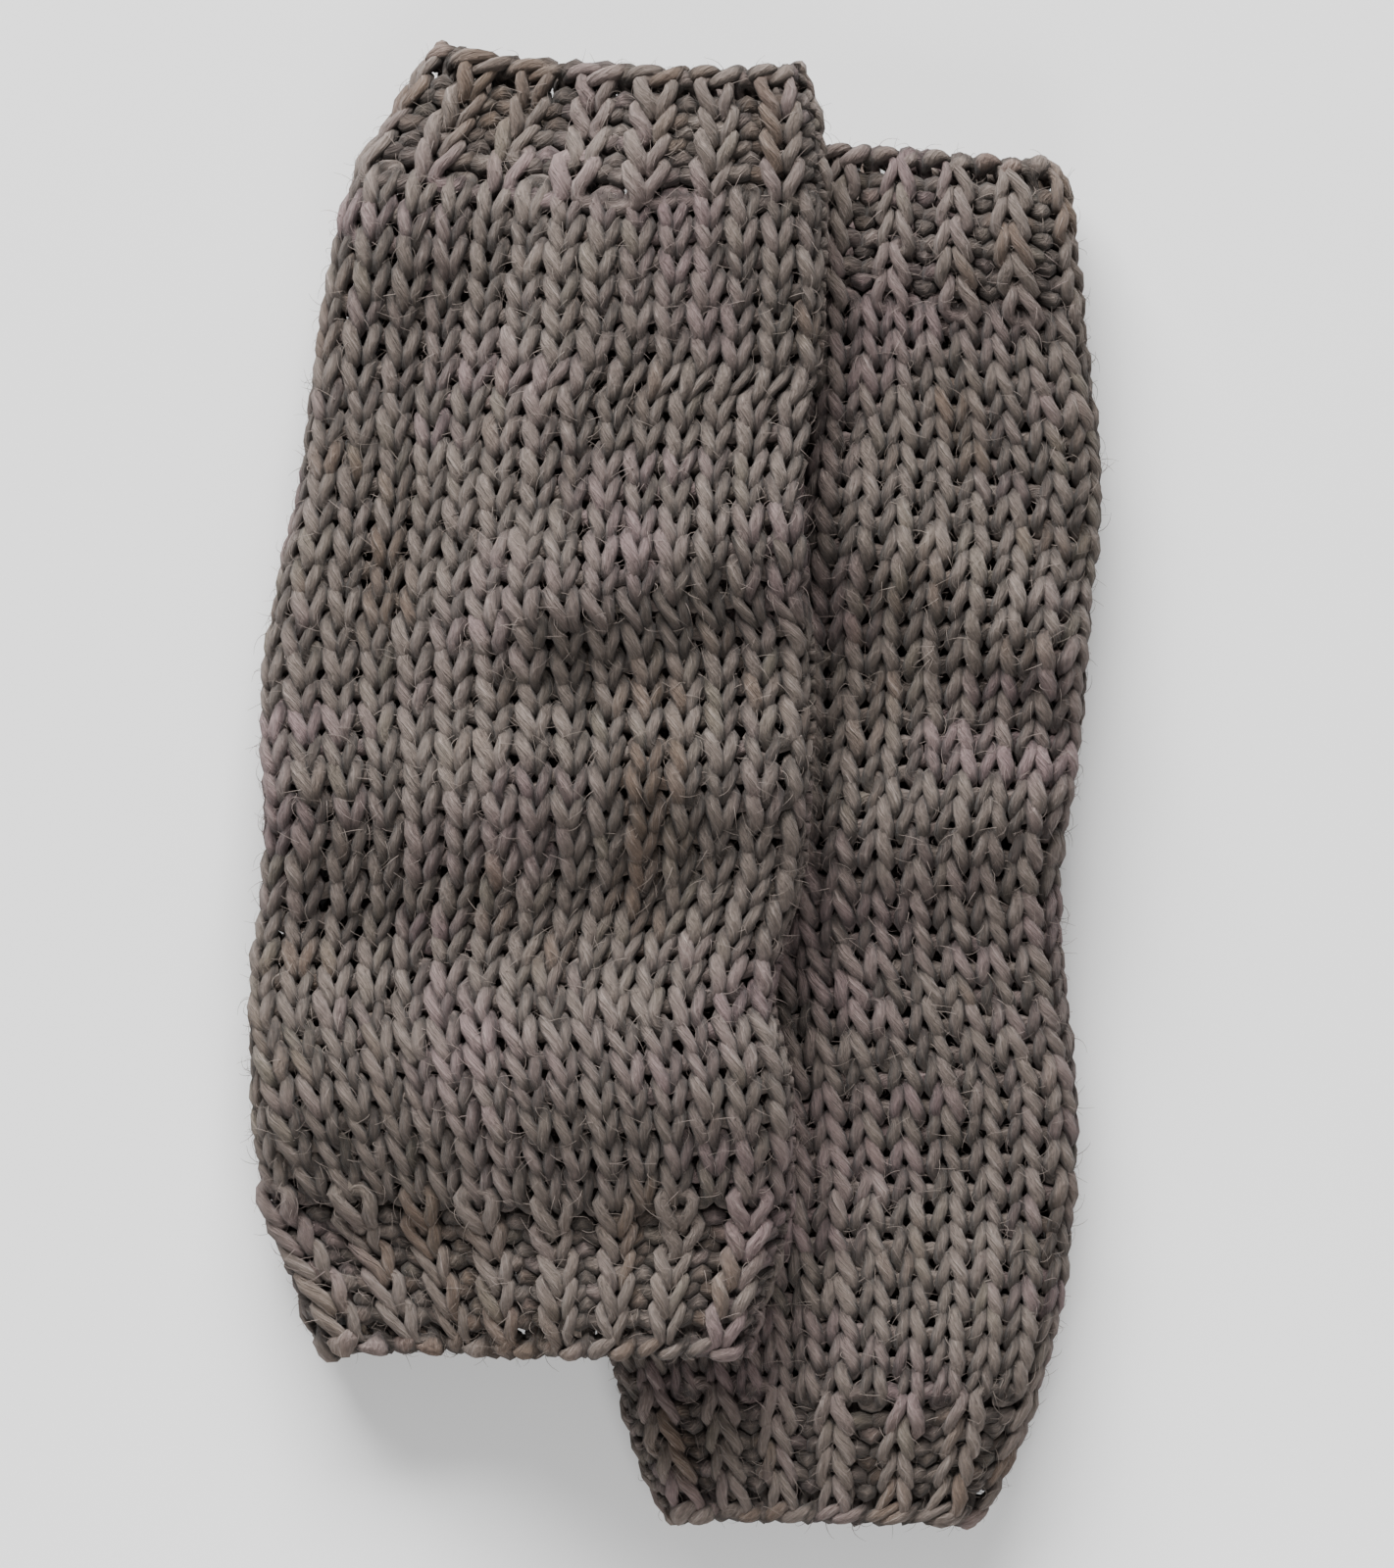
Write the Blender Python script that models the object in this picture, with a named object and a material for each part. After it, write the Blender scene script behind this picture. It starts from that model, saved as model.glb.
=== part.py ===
"""A pair of hand-knitted fingerless gloves, laid flat, head to tail, one half over the other.

Each glove is one knitted panel, folded in half along its length and sewn up one side into a
flat tube: a ribbed band at the finger end, a plain-knit body, a ribbed band at the arm end,
a chain edge at both ends, and a side seam with a gap left in it for the thumb.  The lower
glove lies on the surface.  The upper glove lies partly on the surface and partly on the lower
glove, so its fabric climbs over the lower glove's hidden edge.

Metres, +Z up.  The origin is the centre of the pair's footprint, on the surface it lies on.
"""
import math

import bmesh
import bpy
from mathutils import Vector

# ---------------------------------------------------------------- the knitting
FABRIC = 0.0044            # thickness of the knitted fabric
HOLLOW = 0.0048            # least space between a glove's two layers
CLEARANCE = 0.0003         # between pieces that touch
LAY_GAP = 0.0011           # between the two gloves where one lies on the other
CROWN = 0.0034             # how far the upper layer puffs up along the middle
CHAIN_EDGE = 0.0042        # length of the cast-on and bind-off edges
CHAIN_SKIMP = 0.0004       # the chain edges are this much thinner on each face
SEAM_ANGLE = math.radians(64.0)   # half of the rounded side that the seam takes up
THUMB_START = 0.0500       # from the finger end to the thumb gap
THUMB_GAP = 0.0430         # length of the thumb gap
THUMB_LIP = 0.0030         # how far the two layers flare out along the thumb gap
THUMB_LIP_EASE = 0.0100    # length over which they do so
CLIMB = 0.0260             # width of the slope where one glove climbs over the other
OVERHANG = 0.0160          # how far the upper glove stands out level past the lower one's ends
PRESSED_TO = 0.0180        # the lower glove is pressed flat as far as this x
OPEN_EASE = 0.0120         # and lies open from this much further on
TAIL_LENGTH = 0.0280       # woven-in yarn ends
TAIL_RADIUS = 0.0011
TAIL_SIDES = 8

# ---------------------------------------------------------------- how finely it is divided
ROW_STEP = 0.0085          # longest step along a glove
LAYER_CELLS = 10           # across a layer that follows the folds
FLAT_CELLS = 4             # across a layer that lies flat
ROUND_CELLS = 6            # round a folded side
SEAM_CELLS = 4             # round the seam

# ---------------------------------------------------------------- the two gloves
# heading: +1 when the fingers point along +Y, -1 when they point along -Y.
# seam_side: +1 when the sewn side is at +X, -1 when it is at -X.
# outline rows: share of the length from the finger end, centre line's x, fullness, which is
# 0 at an end's own width and 1 at the body's width.
# folds: the two ends of a ridge or furrow, its height and its half-width.
LOWER = {
    "name": "lower_glove",
    "length": 0.2258,
    "finger_end_width": 0.0440,
    "body_width": 0.0895,
    "arm_end_width": 0.0600,
    "finger_rib": 0.0186,
    "arm_rib": 0.0216,
    "finger_end_y": -0.1210,
    "heading": -1,
    "seam_side": -1,
    "finger_slant": 0.0,
    "arm_slant": -0.08,
    "finger_bow": 0.0,
    "outline": (
        (0.000, 0.0225, 0.00),
        (0.013, 0.0240, 0.17),
        (0.057, 0.0243, 0.39),
        (0.130, 0.0250, 0.64),
        (0.200, 0.0240, 0.83),
        (0.310, 0.0226, 0.95),
        (0.396, 0.0208, 0.93),
        (0.483, 0.0198, 0.95),
        (0.536, 0.0212, 0.98),
        (0.650, 0.0234, 1.01),
        (0.775, 0.0258, 0.97),
        (0.870, 0.0272, 0.67),
        (0.935, 0.0282, 0.45),
        (0.975, 0.0295, 0.30),
        (1.000, 0.0297, 0.00),
    ),
    "folds": (
        (0.045, 0.089, 0.063, 0.088, 0.0022, 0.0080),
        (0.026, 0.044, 0.058, 0.022, 0.0050, 0.0105),
        (0.026, -0.008, 0.063, -0.004, 0.0040, 0.0115),
        (0.023, -0.057, 0.044, -0.063, -0.0024, 0.0100),
        (0.026, -0.095, 0.044, -0.093, 0.0025, 0.0140),
    ),
    "under_cells": FLAT_CELLS,
}
UPPER = {
    "name": "upper_glove",
    "length": 0.2108,
    "finger_end_width": 0.0555,
    "body_width": 0.0900,
    "arm_end_width": 0.0650,
    "finger_rib": 0.0200,
    "arm_rib": 0.0245,
    "finger_end_y": 0.1171,
    "heading": 1,
    "seam_side": 1,
    "finger_slant": -0.07,
    "arm_slant": 0.0,
    "finger_bow": 2.6,
    "outline": (
        (0.000, -0.0083, 0.00),
        (0.012, -0.0092, 0.14),
        (0.028, -0.0096, 0.24),
        (0.057, -0.0105, 0.39),
        (0.123, -0.0143, 0.68),
        (0.236, -0.0173, 0.81),
        (0.331, -0.0201, 0.81),
        (0.473, -0.0221, 1.03),
        (0.614, -0.0229, 0.98),
        (0.718, -0.0265, 0.88),
        (0.785, -0.0248, 0.97),
        (0.884, -0.0239, 0.86),
        (0.936, -0.0235, 0.56),
        (0.983, -0.0230, 0.28),
        (1.000, -0.0210, 0.00),
    ),
    "folds": (
        (-0.045, 0.088, -0.026, 0.093, 0.0024, 0.0090),
        (-0.018, 0.030, 0.020, 0.041, 0.0046, 0.0115),
        (-0.040, 0.022, -0.018, 0.030, 0.0020, 0.0100),
        (0.003, 0.001, 0.018, 0.002, 0.0026, 0.0090),
        (-0.064, 0.000, -0.007, 0.001, 0.0036, 0.0110),
        (-0.067, -0.050, 0.015, -0.046, 0.0042, 0.0130),
        (-0.061, -0.026, -0.004, -0.022, -0.0022, 0.0080),
        (-0.064, -0.074, 0.012, -0.072, -0.0025, 0.0070),
    ),
    "under_cells": LAYER_CELLS,
}

ROUND_RADIUS = (HOLLOW + FABRIC) / 2      # middle of the fabric round a folded side
TUBE_HEIGHT = 2 * FABRIC + HOLLOW         # over both layers, where nothing puffs up


# ---------------------------------------------------------------- curves and slopes
def smooth(rows, column, at):
    """The value of one column of rows at a place in the first column, on a smooth curve."""
    last = len(rows) - 1
    k = 0
    while k < last - 1 and at > rows[k + 1][0]:
        k += 1

    def slope(n):
        before = max(n - 1, 0)
        after = min(n + 1, last)
        return (rows[after][column] - rows[before][column]) / (rows[after][0] - rows[before][0])

    span = rows[k + 1][0] - rows[k][0]
    t = (at - rows[k][0]) / span
    start = rows[k][column]
    end = rows[k + 1][column]
    return ((2 * t ** 3 - 3 * t ** 2 + 1) * start + (t ** 3 - 2 * t ** 2 + t) * span * slope(k)
            + (3 * t ** 2 - 2 * t ** 3) * end + (t ** 3 - t ** 2) * span * slope(k + 1))


def ease(t):
    """0 to 1 with a soft start and a soft end."""
    t = min(max(t, 0.0), 1.0)
    return t * t * (3 - 2 * t)


def sized_outline(glove):
    """The outline rows with real widths in place of the fullness."""
    rows = []
    for share, centre, fullness in glove["outline"]:
        end = glove["finger_end_width"] if share < 0.5 else glove["arm_end_width"]
        rows.append((share, centre, end + (glove["body_width"] - end) * fullness))
    return rows


def lay_out(glove):
    """Work out once what every point of a glove needs."""
    glove["rows"] = sized_outline(glove)
    glove["middle"] = Vector((smooth(glove["rows"], 1, 0.5),
                              glove["finger_end_y"] - glove["heading"] * glove["length"] / 2, 0.0))


def centre_and_width(glove, along):
    share = along / glove["length"]
    return smooth(glove["rows"], 1, share), smooth(glove["rows"], 2, share)


def row_rise(glove, along, across):
    """How far a row of knitting slants and bows; it is straight and level in mid-glove."""
    share = along / glove["length"]
    finger_part = 1 - ease(share / 0.5)
    arm_part = ease(share / 0.5 - 1)
    slanted = (glove["finger_slant"] * finger_part + glove["arm_slant"] * arm_part) * across
    return slanted + glove["finger_bow"] * finger_part ** 3 * across ** 2


def on_the_flat(glove, along, across):
    """Where a point of the laid-out glove is, seen from above."""
    centre = centre_and_width(glove, along)[0]
    y = glove["finger_end_y"] - glove["heading"] * along + row_rise(glove, along, across)
    return centre + across, y


def fold_height(glove, x, y):
    """The ridges and furrows of the glove's upper layer."""
    total = 0.0
    for x0, y0, x1, y1, height, half_width in glove["folds"]:
        dx = x1 - x0
        dy = y1 - y0
        t = min(max(((x - x0) * dx + (y - y0) * dy) / (dx * dx + dy * dy), 0.0), 1.0)
        off = math.hypot(x - x0 - t * dx, y - y0 - t * dy)
        total += height * math.exp(-(off / half_width) ** 2)
    return total


def lies_open(x):
    """1 where the lower glove lies open, 0 where the upper glove presses it flat."""
    return ease((x - PRESSED_TO) / OPEN_EASE)


def thumb_lip(along):
    """How far the layers flare out beside the thumb gap."""
    into_gap = ease((along - THUMB_START) / THUMB_LIP_EASE)
    return THUMB_LIP * into_gap * ease((THUMB_START + THUMB_GAP - along) / THUMB_LIP_EASE)


def puff(glove, along, across, x, y):
    """How far the upper layer stands above its lowest height."""
    width = centre_and_width(glove, along)[1]
    crown = CROWN * (1 - min(abs(2 * across / width), 1.0) ** 4)
    near_end = min(along, glove["length"] - along)
    crown *= 0.35 + 0.65 * ease(near_end / 0.03)
    height = max(crown + fold_height(glove, x, y), 0.0)
    return height * lies_open(x) if glove is LOWER else height


def support(x, y):
    """Height of what the upper glove lies on: the surface, the lower glove, and the climb."""
    arm_end_y = LOWER["finger_end_y"] + LOWER["length"]
    beyond_end = max(y - arm_end_y - OVERHANG, LOWER["finger_end_y"] - OVERHANG - y, 0.0)
    along = min(max(y - LOWER["finger_end_y"], 0.0), LOWER["length"])
    centre, width = centre_and_width(LOWER, along)
    beyond_side = max(abs(x - centre) - width / 2, 0.0)
    climb = 1 - ease(math.hypot(beyond_end, beyond_side) / CLIMB)
    return climb * (TUBE_HEIGHT + LAY_GAP + puff(LOWER, along, x - centre, x, y))


# ---------------------------------------------------------------- points of the tube
# A place round the tube is a pair: which stretch it is on, and how far along it.
# Stretches, seen from the finger end's side: "top" runs from the folded side to the sewn side
# on the upper layer (0 to 1), "sewn" turns down round the sewn side (angle from +90 to -90
# degrees), "under" runs back (0 to 1), and "fold" turns up round the folded side.
def tube_point(glove, along, place, outward, skimp=0.0):
    """A point of the fabric: on its outer face (outward +1) or inner face (outward -1)."""
    stretch, value = place
    width = centre_and_width(glove, along)[1]
    half_run = width / 2 - FABRIC / 2 - ROUND_RADIUS
    reach = ROUND_RADIUS + outward * (FABRIC / 2 - skimp)
    side = glove["seam_side"]
    sewn_run = half_run + thumb_lip(along)
    if stretch == "top":
        across = side * ((half_run + sewn_run) * value - half_run)
        rise = 1.0
        lift = reach
    elif stretch == "under":
        across = side * (sewn_run - (half_run + sewn_run) * value)
        rise = 0.0
        lift = -reach
    else:
        if stretch == "sewn":
            across = side * (sewn_run + reach * math.cos(value))
        else:
            across = -side * (half_run + reach * math.cos(value))
        rise = (1 + math.sin(value)) / 2
        lift = reach * math.sin(value)
    x, y = on_the_flat(glove, along, across)
    z = FABRIC / 2 + ROUND_RADIUS + lift + rise * puff(glove, along, across, x, y)
    if glove is UPPER:
        z += support(x, y)
    return Vector((x, y, z)) - glove["middle"]


def panel_places(glove):
    """The places round the knitted panel: all of the tube but the seam."""
    inner_radius = ROUND_RADIUS - FABRIC / 2
    start = SEAM_ANGLE + CLEARANCE / inner_radius
    right_angle = math.pi / 2
    places = [("sewn", -start), ("sewn", -(start + right_angle) / 2)]
    cells = glove["under_cells"]
    places += [("under", k / cells) for k in range(cells + 1)]
    places += [("fold", -right_angle + math.pi * k / ROUND_CELLS) for k in range(1, ROUND_CELLS)]
    places += [("top", k / LAYER_CELLS) for k in range(LAYER_CELLS + 1)]
    places += [("sewn", (start + right_angle) / 2), ("sewn", start)]
    return places


def seam_places():
    """The places round the seam."""
    return [("sewn", SEAM_ANGLE * (2 * k / SEAM_CELLS - 1)) for k in range(SEAM_CELLS + 1)]


def steps(*stops):
    """Places along the glove through the given stops, no further apart than the row step."""
    places = [stops[0]]
    for start, end in zip(stops, stops[1:]):
        count = max(1, math.ceil((end - start) / ROW_STEP))
        places += [start + (end - start) * k / count for k in range(1, count + 1)]
    return places


# ---------------------------------------------------------------- solids
def yarn_material(name, colour, roughness):
    material = bpy.data.materials.new(name)
    material.use_nodes = True
    shader = material.node_tree.nodes["Principled BSDF"]
    shader.inputs["Base Color"].default_value = (*colour, 1.0)
    shader.inputs["Roughness"].default_value = roughness
    shader.inputs["Metallic"].default_value = 0.0
    return material


def finish(name, mesh_data, material, parent):
    """A closed, outward-facing object in its glove's own frame."""
    mesh = bpy.data.meshes.new(name)
    bmesh.ops.recalc_face_normals(mesh_data, faces=mesh_data.faces)
    mesh_data.to_mesh(mesh)
    mesh_data.free()
    mesh.materials.append(material)
    mesh.shade_smooth()
    mesh.set_sharp_from_angle(angle=math.radians(50))
    piece = bpy.data.objects.new(name, mesh)
    bpy.context.scene.collection.objects.link(piece)
    piece.parent = parent
    return piece


def fabric_solid(name, glove, along_steps, places, material, parent, skimp=0.0):
    """A stretch of the tube's wall as one closed solid with the fabric's thickness."""
    data = bmesh.new()
    outer = []
    inner = []
    for along in along_steps:
        outer.append([data.verts.new(tube_point(glove, along, p, 1, skimp)) for p in places])
        inner.append([data.verts.new(tube_point(glove, along, p, -1, skimp)) for p in places])
    rows = len(along_steps) - 1
    columns = len(places) - 1
    for i in range(rows):
        for j in range(columns):
            data.faces.new((outer[i][j], outer[i][j + 1], outer[i + 1][j + 1], outer[i + 1][j]))
            data.faces.new((inner[i][j], inner[i + 1][j], inner[i + 1][j + 1], inner[i][j + 1]))
        for j in (0, columns):
            data.faces.new((outer[i][j], outer[i + 1][j], inner[i + 1][j], inner[i][j]))
    for i in (0, rows):
        for j in range(columns):
            data.faces.new((outer[i][j], inner[i][j], inner[i][j + 1], outer[i][j + 1]))
    return finish(name, data, material, parent)


def tail_solid(name, glove, along_steps, material, parent):
    """A woven-in yarn end: a short round length inside the tube, close along the seam."""
    data = bmesh.new()
    inset = (ROUND_RADIUS - FABRIC / 2) - TAIL_RADIUS - 2 * CLEARANCE
    rings = []
    for along in along_steps:
        width = centre_and_width(glove, along)[1]
        across = glove["seam_side"] * (width / 2 - FABRIC / 2 - ROUND_RADIUS + inset)
        x, y = on_the_flat(glove, along, across)
        z = FABRIC / 2 + ROUND_RADIUS + 0.5 * puff(glove, along, across, x, y)
        if glove is UPPER:
            z += support(x, y)
        centre = Vector((x, y, z)) - glove["middle"]
        ring = []
        for k in range(TAIL_SIDES):
            angle = 2 * math.pi * k / TAIL_SIDES
            spoke = Vector((math.cos(angle), 0.0, math.sin(angle)))
            ring.append(data.verts.new(centre + TAIL_RADIUS * spoke))
        rings.append(ring)
    for before, after in zip(rings, rings[1:]):
        for k in range(TAIL_SIDES):
            n = (k + 1) % TAIL_SIDES
            data.faces.new((before[k], before[n], after[n], after[k]))
    data.faces.new(rings[0])
    data.faces.new(rings[-1])
    return finish(name, data, material, parent)


# ---------------------------------------------------------------- a whole glove
def make_glove(glove, handle_name, knit, rib, edge, thread):
    """Every piece of one glove, on an empty that stands for the glove."""
    lay_out(glove)
    handle = bpy.data.objects.new(handle_name, None)
    handle.location = glove["middle"]
    bpy.context.scene.collection.objects.link(handle)

    name = glove["name"]
    length = glove["length"]
    half = CLEARANCE / 2
    finger_rib_end = glove["finger_rib"]
    arm_rib_start = length - glove["arm_rib"]
    thumb_end = THUMB_START + THUMB_GAP
    bands = {
        "bind_off_edge": (steps(0.0, CHAIN_EDGE - half), edge, CHAIN_SKIMP),
        "finger_rib": (steps(CHAIN_EDGE + half, finger_rib_end - half), rib, 0.0),
        "body": (steps(finger_rib_end + half, THUMB_START, thumb_end, arm_rib_start - half), knit, 0.0),
        "arm_rib": (steps(arm_rib_start + half, length - CHAIN_EDGE - half), rib, 0.0),
        "cast_on_edge": (steps(length - CHAIN_EDGE + half, length), edge, CHAIN_SKIMP),
    }
    panel = panel_places(glove)
    for band, (along_steps, material, skimp) in bands.items():
        fabric_solid(f"{name}_{band}", glove, along_steps, panel, material, handle, skimp)

    # The seam bends exactly where the bands beside it bend.
    every_step = [along for along_steps, _, _ in bands.values() for along in along_steps]
    seam = seam_places()
    finger_seam = [along for along in every_step if along <= THUMB_START]
    arm_seam = [along for along in every_step if along >= thumb_end]
    fabric_solid(f"{name}_finger_seam", glove, finger_seam, seam, thread, handle)
    fabric_solid(f"{name}_arm_seam", glove, arm_seam, seam, thread, handle)

    finger_tail = steps(CHAIN_EDGE, CHAIN_EDGE + TAIL_LENGTH)
    arm_tail = steps(length - CHAIN_EDGE - TAIL_LENGTH, length - CHAIN_EDGE)
    tail_solid(f"{name}_bind_off_tail", glove, finger_tail, thread, handle)
    tail_solid(f"{name}_cast_on_tail", glove, arm_tail, thread, handle)
    return handle


def make_pair():
    for old in list(bpy.data.objects):
        bpy.data.objects.remove(old, do_unlink=True)
    knit = yarn_material("taupe_knit", (0.135, 0.115, 0.103), 0.92)
    rib = yarn_material("taupe_rib", (0.130, 0.111, 0.100), 0.92)
    edge = yarn_material("taupe_chain_edge", (0.145, 0.123, 0.112), 0.92)
    thread = yarn_material("taupe_seam_yarn", (0.120, 0.103, 0.093), 0.92)
    make_glove(LOWER, "lower_glove_rest", knit, rib, edge, thread)
    make_glove(UPPER, "upper_glove_lift", knit, rib, edge, thread)


make_pair()
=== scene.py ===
# %% [markdown]
# # A pair of hand-knitted fingerless gloves
#
# Each glove is a flat tube of thick wool: plain knit with a ribbed band at both ends, sewn up
# one side with a gap for the thumb.  The pair lies head to tail, the upper glove half over
# the lower one.  Everything here is made from one idea: the fabric is a smooth curved sheet,
# and the knitting is one long yarn whose loops follow a formula on that sheet.

# %% Load the packed model as the fixed frame
import math

import bpy
import numpy as np
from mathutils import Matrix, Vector


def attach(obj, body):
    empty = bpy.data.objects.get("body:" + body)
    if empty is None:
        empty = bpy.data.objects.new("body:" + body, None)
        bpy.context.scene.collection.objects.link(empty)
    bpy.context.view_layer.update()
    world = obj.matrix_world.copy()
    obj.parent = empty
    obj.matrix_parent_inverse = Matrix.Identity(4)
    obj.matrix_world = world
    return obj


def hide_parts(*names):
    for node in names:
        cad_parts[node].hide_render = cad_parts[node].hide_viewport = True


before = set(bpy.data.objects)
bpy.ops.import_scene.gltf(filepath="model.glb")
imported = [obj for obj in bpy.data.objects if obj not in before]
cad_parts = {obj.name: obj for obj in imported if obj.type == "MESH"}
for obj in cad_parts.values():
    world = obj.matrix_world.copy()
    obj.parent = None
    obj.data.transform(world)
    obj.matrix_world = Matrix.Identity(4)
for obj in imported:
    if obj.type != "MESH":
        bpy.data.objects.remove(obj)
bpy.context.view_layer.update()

# %% [markdown]
# ## Camera, floor and light
#
# The pair is looked at from straight above.  A long lens from 1.6 m keeps the tubes from
# looking swollen.

# %% Camera
CAMERA_HEIGHT = 1.6
VIEW_HEIGHT = 0.2528          # what the frame shows from top to bottom, at mid height
VIEW_LEVEL = 0.014            # the height at which that is measured
CAMERA_X = 0.0036             # a little to the side, which leaves even margins
SENSOR = 36.0                 # height of the film, in mm


def make_camera():
    lens = bpy.data.cameras.new("camera")
    lens.sensor_fit = "VERTICAL"
    lens.sensor_height = SENSOR
    lens.lens = SENSOR * (CAMERA_HEIGHT - VIEW_LEVEL) / VIEW_HEIGHT
    lens.clip_start = 0.05
    lens.clip_end = 20.0
    camera = bpy.data.objects.new("camera", lens)
    camera.location = (CAMERA_X, 0.0, CAMERA_HEIGHT)
    bpy.context.scene.collection.objects.link(camera)
    bpy.context.scene.camera = camera
    print(f"camera: {lens.lens:.0f} mm lens, {CAMERA_HEIGHT} m up")


make_camera()

# %% [markdown]
# A pale floor carries the shadows.  It lies a hair below the wool, so that the two surfaces
# never fight for the same place.

# %% Floor
FLOOR_SIZE = 3.0
FLOOR_DROP = 0.0004
FLOOR_COLOUR = (0.88, 0.88, 0.88)


def plain_material(name, colour, roughness):
    material = bpy.data.materials.new(name)
    material.use_nodes = True
    shader = material.node_tree.nodes["Principled BSDF"]
    shader.inputs["Base Color"].default_value = (*colour, 1.0)
    shader.inputs["Roughness"].default_value = roughness
    return material


def make_floor():
    half = FLOOR_SIZE / 2
    mesh = bpy.data.meshes.new("floor")
    corners = [(-half, -half, 0), (half, -half, 0), (half, half, 0), (-half, half, 0)]
    mesh.from_pydata(corners, [], [(0, 1, 2, 3)])
    mesh.materials.append(plain_material("pale_floor", FLOOR_COLOUR, 0.9))
    floor = bpy.data.objects.new("floor", mesh)
    floor.location.z = -FLOOR_DROP
    bpy.context.scene.collection.objects.link(floor)
    print("floor:", FLOOR_SIZE, "m square")


make_floor()

# %% [markdown]
# Knitting shows its shape by shading.  A wide soft panel stands low beyond the far end, so
# every stitch and every fold has a lit side and a shaded side with a soft border.  A small
# weak panel at the near end opens the shadows there, and an even sky fills the rest.

# %% Lights
SKY_STRENGTH = 0.20


def soft_panel(name, place, size, watts, aim=(0.0, 0.0, 0.0)):
    light = bpy.data.lights.new(name, "AREA")
    light.shape = "RECTANGLE"
    light.size, light.size_y = size
    light.energy = watts
    panel = bpy.data.objects.new(name, light)
    panel.location = place
    panel.rotation_euler = (Vector(place) - Vector(aim)).to_track_quat("Z", "Y").to_euler()
    bpy.context.scene.collection.objects.link(panel)


def make_light():
    world = bpy.data.worlds.new("studio")
    world.use_nodes = True
    sky = world.node_tree.nodes["Background"]
    sky.inputs["Color"].default_value = (1.0, 1.0, 1.0, 1.0)
    sky.inputs["Strength"].default_value = SKY_STRENGTH
    bpy.context.scene.world = world
    soft_panel("key_panel", place=(-0.36, 2.02, 1.00), size=(2.1, 1.0), watts=218.0)
    soft_panel("fill_panel", place=(0.02, -0.37, 0.25), size=(0.35, 0.35), watts=1.5,
               aim=(0.01, -0.10, 0.01))
    print("lights: a sky and two panels")


make_light()

# %% [markdown]
# ## Where the fabric lies
#
# Before any stitch is made, each glove is a bare surface: the middle of its fabric.  It could
# be modelled by hand or taken from a cloth simulation.  A formula is used here, because the
# rows and columns of stitches must be placed exactly on it.  Seen from above a glove is an
# outline; in section it is a flattened tube with round sides; ridges and furrows are added to
# its upper layer, and the upper glove is lifted by what it lies on.

# %% Sizes shared by both gloves, in metres
FABRIC = 0.0044               # thickness of the knitting
HOLLOW = 0.0048               # least space between a glove's layers
LAY_GAP = 0.0011              # between the two gloves where one lies on the other
CROWN = 0.0034                # how far the upper layer puffs up along the middle
CROWN_AT_END = 0.35           # share of that at the cast-on and bind-off edges
CROWN_EASE = 0.0300           # length over which it grows
CLIMB = 0.0260                # width of the slope where one glove climbs over the other
OVERHANG = 0.0160             # how far the upper glove stays level past the lower one's ends
PRESSED_TO = 0.0180           # the lower glove is pressed flat as far as this x
OPEN_EASE = 0.0120            # and lies open from this much further on
THUMB_START = 0.0500          # from the finger end to the thumb gap
THUMB_GAP = 0.0430            # length of the thumb gap
THUMB_LIP = 0.0030            # how far the layers flare out along the gap
THUMB_LIP_EASE = 0.0100       # length over which they do so
THUMB_CORNER = 0.0070         # length over which the gap opens from the seam
THUMB_ANGLE = math.radians(60)    # how much of the rounded side the open gap takes away
ROUND_RADIUS = (HOLLOW + FABRIC) / 2      # middle of the fabric round a folded side
TUBE_HEIGHT = 2 * FABRIC + HOLLOW         # over both layers, where nothing puffs up
STITCHES = 30                 # columns of stitches round a glove
print(f"a tube at rest is {TUBE_HEIGHT * 1000:.1f} mm high, {STITCHES} stitches round")

# %% [markdown]
# Each glove's own sizes are in metres, and its rows of numbers are these:
#
# - `outline`: share of the length from the finger end, x of the centre line, and fullness,
#   from 0 at the width of that end to 1 at the width of the body;
# - `folds`: from x, y to x, y along a ridge, its height (a furrow's is negative) and the
#   distance in which it fades;
# - `top_share`: share of the length, and how much wider the columns are on the upper layer.
#
# A slant turns an end's edge and a bow curves it.  The heading is 1 where the fingers point
# to +y, and the seam side is 1 where the sewn side is at +x.

# %% The lower glove
LOWER = {
    "name": "lower_glove",
    "length": 0.2258,
    "finger_end_width": 0.0440,
    "body_width": 0.0895,
    "arm_end_width": 0.0600,
    "finger_end_y": -0.1210,
    "heading": -1,
    "seam_side": -1,
    "finger_slant": 0.0,
    "arm_slant": -0.08,
    "finger_bow": 0.0,
    "outline": (
        (0.000, 0.0225, 0.00),
        (0.013, 0.0240, 0.17),
        (0.057, 0.0243, 0.39),
        (0.130, 0.0250, 0.64),
        (0.200, 0.0240, 0.83),
        (0.310, 0.0226, 0.95),
        (0.396, 0.0208, 0.93),
        (0.483, 0.0198, 0.95),
        (0.536, 0.0212, 0.98),
        (0.650, 0.0234, 1.01),
        (0.775, 0.0258, 0.97),
        (0.870, 0.0272, 0.67),
        (0.935, 0.0282, 0.45),
        (0.975, 0.0295, 0.30),
        (1.000, 0.0297, 0.00),
    ),
    "folds": (
        (0.045, 0.089, 0.063, 0.088, 0.0022, 0.0080),
        (0.026, 0.044, 0.058, 0.022, 0.0050, 0.0105),
        (0.026, -0.008, 0.063, -0.004, 0.0040, 0.0115),
        (0.023, -0.057, 0.044, -0.063, -0.0024, 0.0100),
        (0.026, -0.095, 0.044, -0.093, 0.0025, 0.0140),
    ),
    "rows": 50,
    "seed": 1.0,
    "finger_rib_rows": 4,
    "arm_rib_rows": 5,
    "top_share": ((0.0, 0.16), (0.5, 0.0), (0.75, -0.02), (1.0, -0.10)),
}
print(LOWER["name"], "has", LOWER["rows"], "rows and", len(LOWER["folds"]), "folds")

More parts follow.
